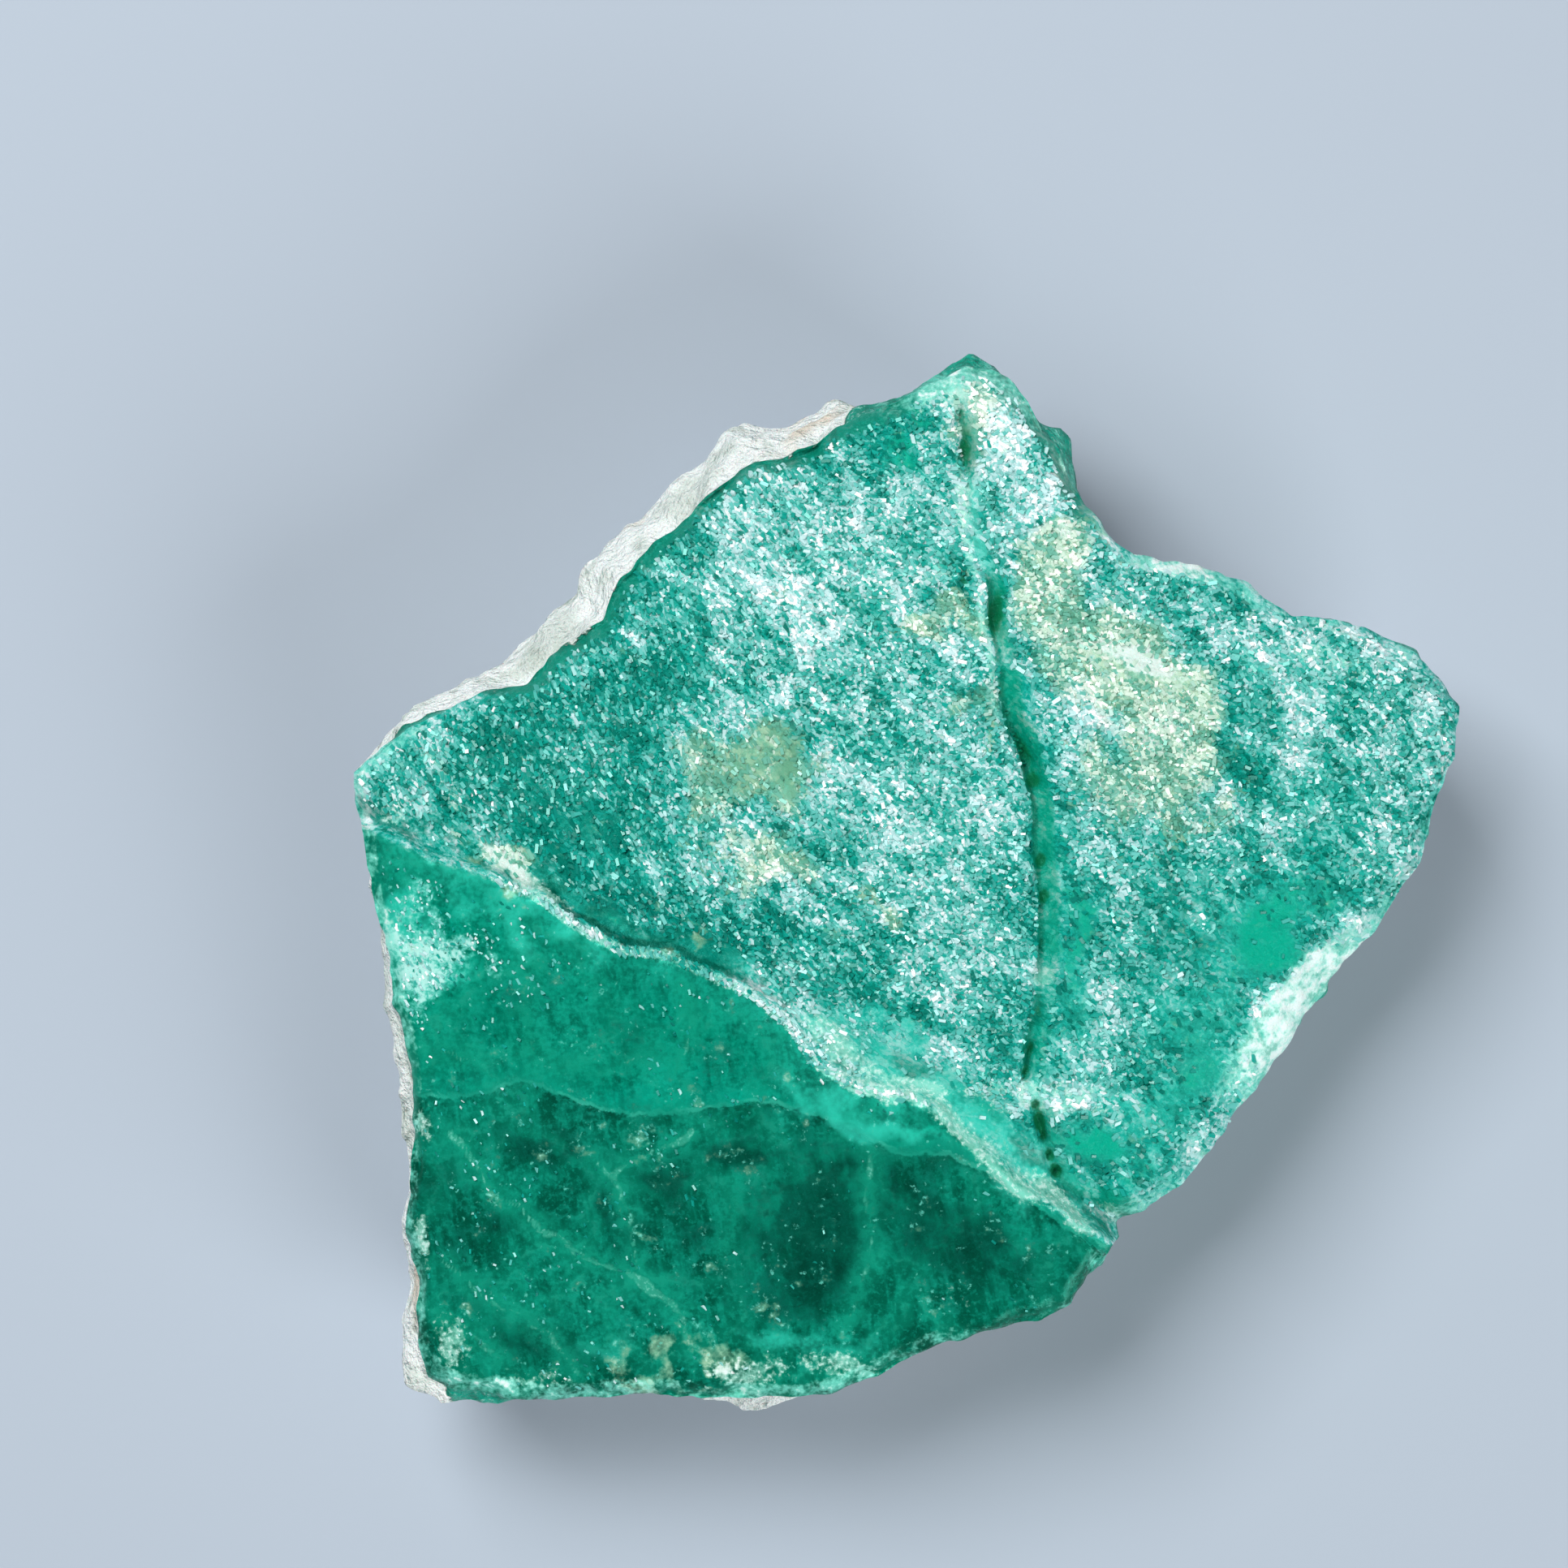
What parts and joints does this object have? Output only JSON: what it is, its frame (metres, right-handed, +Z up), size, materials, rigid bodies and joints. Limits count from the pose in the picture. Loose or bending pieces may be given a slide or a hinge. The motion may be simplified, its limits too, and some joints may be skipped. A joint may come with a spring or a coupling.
{
  "type": "raw smithsonite",
  "caption": "Rough slab of green smithsonite with a cracked, ledged face and a pale crust on its back, lying on its back to be shown or handled.",
  "frame": {"origin": "under the middle of the stone's box, on the surface that it rests on", "axes": "+Z up, out of the broken face; +X towards the face's right corner; +Y towards the face's top tip"},
  "size_m": [0.0605, 0.0574, 0.0154],
  "materials": {
    "smithsonite": "waxy broken mineral, sugary on its upper ground, with a pale rough crust on its back"
  },
  "bodies": {
    "root": {"smithsonite": "smithsonite"}
  },
  "joints": []
}
